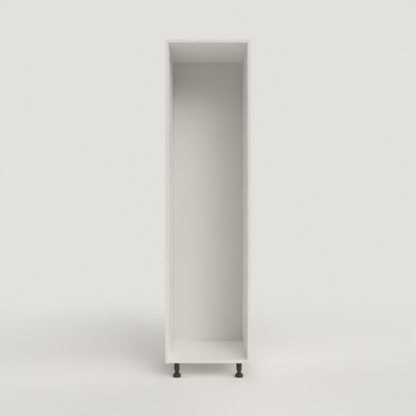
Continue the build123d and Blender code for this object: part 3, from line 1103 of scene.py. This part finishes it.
# %% All eight cams
HALF_TURN = 2 * QUARTER_TURN
cam_spots = []
for face_z, roll in ((cam_high.z, 0), (cam_low.z, HALF_TURN)):
    for x, spin in ((cam_high.x - CAM_RADIUS, 0), (cam_low.x + CAM_RADIUS, HALF_TURN)):
        for y in (cam_low.y + CAM_RADIUS, cam_high.y - CAM_RADIUS):
            cam_spots.append((Vector((x, y, face_z)), (roll, 0, spin)))
cam_drums = copy_and_join(cam, "cam_drums", cast_zinc, cam_spots)
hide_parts("cam_locks")
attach(cam_drums, "carcass")

# %% [markdown]
# ## The floor
# The photo has no visible corner between floor and wall: the pale floor runs back and melts into
# the pale room. A curved sheet behind the cabinet would catch the light in its bend, and a rim that
# fades by its alpha turns grainy, because every see-through sample is drawn by lot. So the floor is
# a disc of paper whose rim is mixed with a plain glow of the room's own tone. The mix follows the
# distance from the cabinet, so it looks the same from every side.

# %% Floor
FLOOR_RADIUS = 3.5
FLOOR_STEPS = 128
FADE_START = 1.0
FADE_END = 3.4

bpy.ops.object.select_all(action="DESELECT")
bpy.ops.mesh.primitive_circle_add(vertices=FLOOR_STEPS, radius=FLOOR_RADIUS, fill_type="NGON")
floor = bpy.context.object
floor.name = "studio_floor"
begin_edit(floor)
pick_faces(lambda middle, normal: True)
bpy.ops.mesh.inset(thickness=FLOOR_RADIUS - FADE_START)
end_edit()
print("floor radius", FLOOR_RADIUS)

# %% Paper of the floor
PAPER = (0.952, 0.935, 0.904, 1)
PAPER_SHADE = (0.942, 0.924, 0.892, 1)
PAPER_FIBRE = 3.0
PAPER_ROUGHNESS = 0.85
PAPER_GLOSS = 0.2
ROOM_TONE = (0.760, 0.750, 0.722, 1)

paper = Finish("studio_paper")
fibre = paper.noise(paper.place(), PAPER_FIBRE)
length = {"operation": "LENGTH"}
reach = paper.add("ShaderNodeVectorMath", length, {0: paper.place()}, output="Value")
paper.surface(
    Base_Color=paper.mix(fibre, PAPER, PAPER_SHADE),
    Roughness=PAPER_ROUGHNESS,
    Specular_IOR_Level=PAPER_GLOSS,
)
sheet = Wire(paper, paper.shader.outputs["BSDF"])
haze = paper.add("ShaderNodeEmission", sockets={"Color": ROOM_TONE})
fade = reach.ramp(FADE_START, FADE_END)
melted = paper.add("ShaderNodeMixShader", sockets={0: fade, 1: sheet, 2: haze})
paper.feed(paper.own("OUTPUT_MATERIAL").inputs["Surface"], melted)
floor.data.materials.append(paper.material)
print("paper melts into the room from", FADE_START, "to", FADE_END, "m")

# %% [markdown]
# ## The room
# The photo's light is soft and even, and part of it comes from the whole room. An enclosed set of
# walls would do that, but it would stand in the way of the camera in other views. So the room is
# the world: a belt of light round the walls, and the glow of the floor that runs on below the
# horizon. The camera sees it as one plain tone, which a Light Path node keeps apart from the light
# that the room gives.

# %% Room
ROOM_FLOOR = 0.50
ROOM_BELT = 0.60
HORIZON = (-0.05, 0.02)
BELT_FOOT = (0.13, 0.27)
BELT_TOP = (0.50, 0.65)
WHITE = (1, 1, 1, 1)

world = bpy.data.worlds.new("studio_room")
bpy.context.scene.world = world
world.use_nodes = True
room = Nodes(world.node_tree)
heading = room.add("ShaderNodeTexCoord", output="Generated")
rise = room.add("ShaderNodeSeparateXYZ", sockets={"Vector": heading}, output="Z")
below = 1 - rise.ramp(*HORIZON)
belt = rise.ramp(*BELT_FOOT) - rise.ramp(*BELT_TOP)
brightness = below * ROOM_FLOOR + belt * ROOM_BELT
glow = room.add("ShaderNodeBackground", sockets={"Color": WHITE, "Strength": brightness})
seen = room.add("ShaderNodeBackground", sockets={"Color": ROOM_TONE, "Strength": 1.0})
by_camera = room.add("ShaderNodeLightPath", output="Is Camera Ray")
mixed = room.add("ShaderNodeMixShader", sockets={0: by_camera, 1: glow, 2: seen})
room.feed(room.own("OUTPUT_WORLD").inputs["Surface"], mixed)
print("room with a belt of light", ROOM_BELT, "over a floor of", ROOM_FLOOR)

# %% [markdown]
# ## The softboxes
# Most of the light comes from the front and the right: the right side panel and the top shade the
# back panel, and the shadow on the floor falls away to the left. A small lamp would draw hard
# lines, so every source is a sun lamp with a wide angle, like a large softbox far off. Three stand
# in front and to the right, one is high in front, and two warm ones at the left and behind lift the
# shadow on the floor, which is a little warmer than the rest in the photo.

# %% Softboxes
LIGHT_DISTANCE = 5.0
NEUTRAL = (1.0, 1.0, 1.0)
WARM = (1.0, 0.97, 0.94)
SOFTBOXES = {
    "key_light": {"azimuth": 28, "elevation": 26, "strength": 0.80, "width": 30},
    "front_light": {"azimuth": 10, "elevation": 38, "strength": 0.60, "width": 36},
    "side_light": {"azimuth": 62, "elevation": 26, "strength": 0.74, "width": 44},
    "high_light": {"azimuth": -10, "elevation": 62, "strength": 0.30, "width": 36},
    "left_light": {"azimuth": -110, "elevation": 34, "strength": 0.52, "width": 55, "tone": WARM},
    "rear_light": {"azimuth": 150, "elevation": 38, "strength": 0.48, "width": 60, "tone": WARM},
}


def add_softbox(name, azimuth, elevation, strength, width, tone=NEUTRAL):
    """Add a soft far light; azimuth goes in degrees from the camera round to its right-hand side."""
    bearing = math.radians(azimuth)
    height = math.radians(elevation)
    level = math.cos(height)
    towards = Vector((math.sin(bearing) * level, -math.cos(bearing) * level, math.sin(height)))
    bpy.ops.object.light_add(type="SUN", location=towards * LIGHT_DISTANCE)
    lamp = bpy.context.object
    lamp.name = name
    lamp.rotation_euler = towards.to_track_quat("Z", "Y").to_euler()
    lamp.data.energy = strength
    lamp.data.color = tone
    lamp.data.angle = math.radians(width)
    print(name, "from azimuth", azimuth, "elevation", elevation)


for light_name, light in SOFTBOXES.items():
    add_softbox(light_name, **light)
bpy.context.scene.view_settings.view_transform = "Standard"
